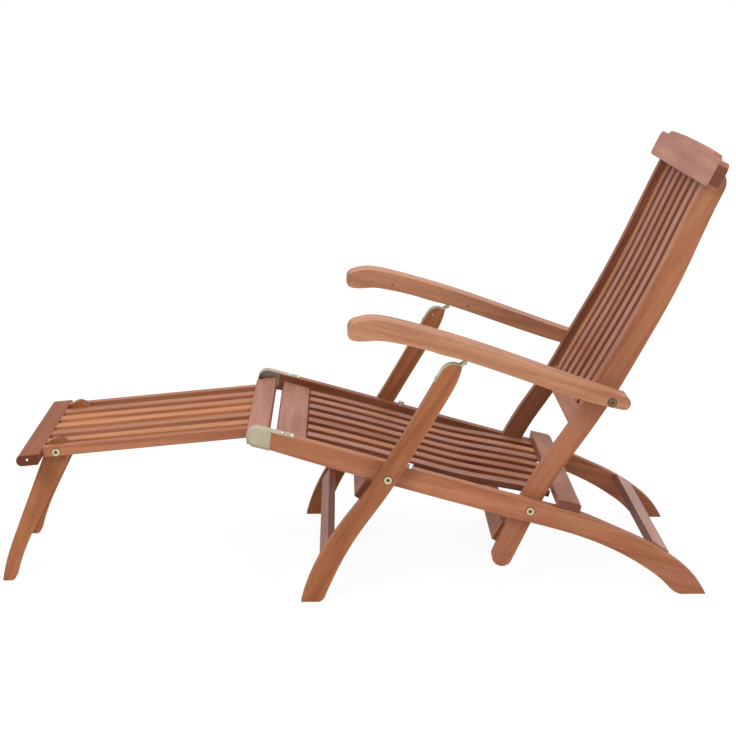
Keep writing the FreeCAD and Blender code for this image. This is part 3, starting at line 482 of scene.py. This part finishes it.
def hexagon_ring(mesh, flat, height):
    """A ring with the outline of a hexagon, on as many vertices as a round one."""
    sixth = FULL_TURN / 6
    return shaped_ring(mesh, lambda angle: flat / math.cos((angle % sixth) - sixth / 2), height)


def bridge(mesh, rings):
    """Faces from each ring to the next."""
    for first, second in zip(rings, rings[1:]):
        for step in range(SEGMENTS):
            after = (step + 1) % SEGMENTS
            mesh.faces.new((first[step], first[after], second[after], second[step]))


def placed(name, mesh, material, body, place, direction):
    """Turns a small piece of hardware so that its Z axis points along the direction."""
    bmesh.ops.recalc_face_normals(mesh, faces=mesh.faces)
    data = bpy.data.meshes.new(name)
    mesh.to_mesh(data)
    mesh.free()
    for face in data.polygons:
        face.use_smooth = True
    data.materials.append(material)
    piece = bpy.data.objects.new(name, data)
    piece.location = place
    piece.rotation_euler = Vector(direction).to_track_quat("Z", "Y").to_euler()
    bpy.context.collection.objects.link(piece)
    sharp = piece.modifiers.new("edges", "EDGE_SPLIT")
    sharp.split_angle = SHARP_EDGE
    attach(piece, body)


SOCKET_RADIUS = 0.0034
SOCKET_RIM = 0.0003
KEY_FLAT = 0.0021
KEY_LIP = 0.0005
KEY_FLOOR = 0.0001


def hexagon_socket(name, body, place, direction):
    """The bottom of a bolt head's recess, with a hexagonal hole for a key; its dark colour stands
    in for the shade in a deep key hole, as painted shade.
    """
    mesh = bmesh.new()
    rings = [ring(mesh, SOCKET_RADIUS, 0), ring(mesh, SOCKET_RADIUS, SOCKET_RIM),
             hexagon_ring(mesh, KEY_FLAT, KEY_LIP), hexagon_ring(mesh, KEY_FLAT, KEY_FLOOR)]
    bridge(mesh, rings)
    mesh.faces.new(rings[-1])
    mesh.faces.new(rings[0][::-1])
    placed(name, mesh, shade_bronze, body, place, direction)


# Rings of the painted shadow round a hole: how much wider than the hole, and how high
BORE_PROFILE = ((0.0001, 0.00003), (0.0003, 0.00022), (0.0009, 0.0002), (0.0013, 0.00003))


def bore_shadow_ring(name, radius, body, place, direction, material):
    """A ring of painted shadow round the head of a bolt or a screw, at the edge of its hole."""
    mesh = bmesh.new()
    rings = [ring(mesh, radius + wider, height) for wider, height in BORE_PROFILE]
    bridge(mesh, rings + rings[:1])
    placed(name, mesh, material, body, place, direction)


# Rings of a screw head as shares of its radius: how wide, and how high
SCREW_PROFILE = ((1, 0), (1, 0.12), (0.86, 0.3), (0.55, 0.4))
CROSS_ARM = 0.5
CROSS_CORNER = 0.16
CROSS_WIDTH = 0.4
CUT_TOP = 0.38
CUT_TAPER = 0.8
CUT_BOTTOM = 0.1


def cross_screw(name, radius, body, place, direction, material):
    """A low domed screw head with a cross cut into it."""
    def cross(angle):
        return radius * (CROSS_ARM if abs(math.sin(2 * angle)) < CROSS_WIDTH else CROSS_CORNER)

    mesh = bmesh.new()
    rings = [ring(mesh, radius * wide, radius * high) for wide, high in SCREW_PROFILE]
    cut = shaped_ring(mesh, cross, radius * CUT_TOP)
    low = [mesh.verts.new((vertex.co.x * CUT_TAPER, vertex.co.y * CUT_TAPER, radius * CUT_BOTTOM))
           for vertex in cut]
    bridge(mesh, rings + [cut, low])
    mesh.faces.new(low)
    mesh.faces.new(rings[0][::-1])
    placed(name, mesh, material, body, place, direction)


# Bolts, with the body that carries each head on the left and on the right,
# and the body of the wood that it lies in where that is another one
BOLTS = (("leg_bolt", "seat_frame", "seat_frame", "front_legs"),
         ("back_bolt", "seat_frame", "seat_frame", None),
         ("arm_bolt", "arm_left", "arm_right", None),
         ("footrest_leg_bolt", "footrest", "footrest", None))
HEAD_THICK = 0.002
RECESS_DEPTH = 0.0015
BORE_RADIUS = 0.008


def dress_bolts():
    for bolt, left_body, right_body, wood_body in BOLTS:
        for (word, side), body in zip(SIDES, (left_body, right_body)):
            name = bolt + "_" + word
            low, high = corner_of(name)
            x, z = (low[0] + high[0]) / 2, (low[2] + high[2]) / 2
            outer = low[1] if side < 0 else high[1]
            recess = outer - side * RECESS_DEPTH
            hexagon_socket(name + "_socket", body, (x, recess, z), (0, side, 0))
            # A ring of painted shadow on the wood round the head
            wood_face = outer - side * HEAD_THICK
            bore_shadow_ring(name + "_bore", BORE_RADIUS, wood_body or body, (x, wood_face, z),
                       (0, side, 0), bore_shadow_wood)


# Places of the screws, as X and Z, with the face that they lie on as its distance
# from the middle plane of the chair
ARM_SCREWS = ((0.0954, 0.5563), (0.2685, 0.5059))
ARM_INNER = 0.256
ARM_SCREW_RADIUS = 0.0028
LEG_SCREW = (0.1898, 0.4810)
LEG_INNER = 0.276
LEG_SCREW_RADIUS = 0.003
BAR_SCREW = (-0.6658, 0.2828)
BAR_END = 0.225
BAR_SCREW_RADIUS = 0.0026

# The screws in the bracket tails, as steps along the rail from one place
BRACKET_SCREW = (-0.13114, 0.2535, 0.34374)
SCREW_STEPS = (-0.0112, 0.0092)
BRACKET_SCREW_RADIUS = 0.0034


def dress_with_screws():
    for word, side in SIDES:
        for count, step in enumerate(SCREW_STEPS):
            place = (BRACKET_SCREW[0] + step * RAIL_UP[2], side * BRACKET_SCREW[1],
                     BRACKET_SCREW[2] - step * RAIL_UP[0])
            name = "bracket_screw_%s_%d" % (word, count)
            cross_screw(name, BRACKET_SCREW_RADIUS, "seat_frame", place, RAIL_UP, silver)
            # A ring of painted shade round the screw head
            bore_shadow_ring(name + "_edge", BRACKET_SCREW_RADIUS, "seat_frame", place, RAIL_UP,
                       shade_bronze)
        for count, (x, z) in enumerate(ARM_SCREWS):
            cross_screw("arm_screw_%s_%d" % (word, count), ARM_SCREW_RADIUS, "arm_" + word,
                        (x, side * ARM_INNER, z), (0, -side, 0), brown_screw)
        cross_screw("leg_screw_" + word, LEG_SCREW_RADIUS, "front_legs",
                    (LEG_SCREW[0], side * LEG_INNER, LEG_SCREW[1]), (0, -side, 0), brass)
        cross_screw("bar_screw_" + word, BAR_SCREW_RADIUS, "footrest",
                    (BAR_SCREW[0], side * BAR_END, BAR_SCREW[1]), (0, side, 0), silver)


dress_bolts()
dress_with_screws()


# Floor, light and camera

FLOOR_COLOUR = (0.93, 0.93, 0.93, 1)
FLOOR_REACH = 30
FLOOR_ROUGHNESS = 0.9
FLOOR_SPECULAR = 0.1
PLAIN_SHARE = 0.86
PLAIN_STRETCH = (0.9, 4.0)
PLAIN_STRENGTH = (1.06, 1.2)
SKY_STRENGTH = 0.5
LAMP_WIDTH = 1.6
# Each lamp with its place, the point that it aims at, and its watts
LAMPS = (("key", (-1.5, -2.8, 2.6), (-0.1, 0, 0.4), 66),
         ("fill", (2.4, -1.8, 1.8), (0.1, 0, 0.4), 14),
         ("top", (0.4, 0.4, 3.2), (0.1, 0, 0.3), 42))
CAMERA_PLACE = (-0.0192, -3.5765, 1.2634)
CAMERA_PITCH = 0.2314
CAMERA_YAW = -0.0152
FOCAL_PIXELS = 1700
PHOTO_PIXELS = 736
SENSOR = 36


def plain_rays(tree):
    """The rays that see the plain white background: from the camera, metal and glass."""
    rays = tree.nodes.new("ShaderNodeLightPath")
    share = rays.outputs["Is Camera Ray"]
    for kind in ("Is Glossy Ray", "Is Transmission Ray"):
        most = tree.nodes.new("ShaderNodeMath")
        most.operation = "MAXIMUM"
        tree.links.new(share, most.inputs[0])
        tree.links.new(rays.outputs[kind], most.inputs[1])
        share = most.outputs[0]
    return share


def make_floor():
    """A pale floor that shows the chair's shadow, and turns plain white further out."""
    bpy.ops.mesh.primitive_plane_add(size=2 * FLOOR_REACH, location=(0, 0, 0))
    floor = bpy.context.object
    floor.name = "floor"
    made = Nodes("floor")
    made.shader.inputs["Base Color"].default_value = FLOOR_COLOUR
    made.shader.inputs["Roughness"].default_value = FLOOR_ROUGHNESS
    made.shader.inputs["Specular IOR Level"].default_value = FLOOR_SPECULAR
    reach = made.add("ShaderNodeVectorMath", operation="LENGTH")
    made.link((made.add("ShaderNodeTexCoord"), "Object"), reach, 0)
    glow = made.add("ShaderNodeEmission", {"Color": ALL})
    made.link(made.ranged((reach, "Value"), PLAIN_STRETCH, PLAIN_STRENGTH), glow, "Strength")
    both = made.add("ShaderNodeMixShader", {"Fac": PLAIN_SHARE})
    made.link((made.shader, "BSDF"), both, 1)
    made.link((glow, "Emission"), both, 2)
    seen = made.add("ShaderNodeMixShader")
    made.tree.links.new(plain_rays(made.tree), seen.inputs["Fac"])
    made.link((made.shader, "BSDF"), seen, 1)
    made.link((both, "Shader"), seen, 2)
    made.link((seen, "Shader"), made.tree.nodes["Material Output"], "Surface")
    floor.data.materials.append(made.material)


def make_world():
    """A soft sky for the light, and plain white for the rays that see the background."""
    world = bpy.data.worlds.new("studio")
    bpy.context.scene.world = world
    world.use_nodes = True
    tree = world.node_tree
    sky = tree.nodes["Background"]
    sky.inputs["Color"].default_value = ALL
    sky.inputs["Strength"].default_value = SKY_STRENGTH
    plain = tree.nodes.new("ShaderNodeBackground")
    plain.inputs["Color"].default_value = ALL
    plain.inputs["Strength"].default_value = 1.0
    mix = tree.nodes.new("ShaderNodeMixShader")
    tree.links.new(plain_rays(tree), mix.inputs["Fac"])
    tree.links.new(sky.outputs["Background"], mix.inputs[1])
    tree.links.new(plain.outputs["Background"], mix.inputs[2])
    tree.links.new(mix.outputs["Shader"], tree.nodes["World Output"].inputs["Surface"])


def make_lamp(name, place, aim, watts):
    data = bpy.data.lights.new(name, "AREA")
    data.energy = watts
    data.size = LAMP_WIDTH
    lamp = bpy.data.objects.new(name, data)
    lamp.location = place
    lamp.rotation_euler = (Vector(aim) - Vector(place)).to_track_quat("-Z", "Y").to_euler()
    bpy.context.collection.objects.link(lamp)


def make_camera():
    data = bpy.data.cameras.new("camera")
    data.sensor_width = SENSOR
    data.sensor_fit = "HORIZONTAL"
    data.lens = SENSOR * FOCAL_PIXELS / PHOTO_PIXELS
    camera = bpy.data.objects.new("camera", data)
    camera.location = CAMERA_PLACE
    camera.rotation_euler = (math.pi / 2 - CAMERA_PITCH, 0, CAMERA_YAW)
    bpy.context.collection.objects.link(camera)
    bpy.context.scene.camera = camera


make_floor()
make_world()
for lamp in LAMPS:
    make_lamp(*lamp)
make_camera()
bpy.context.scene.view_settings.view_transform = "Standard"
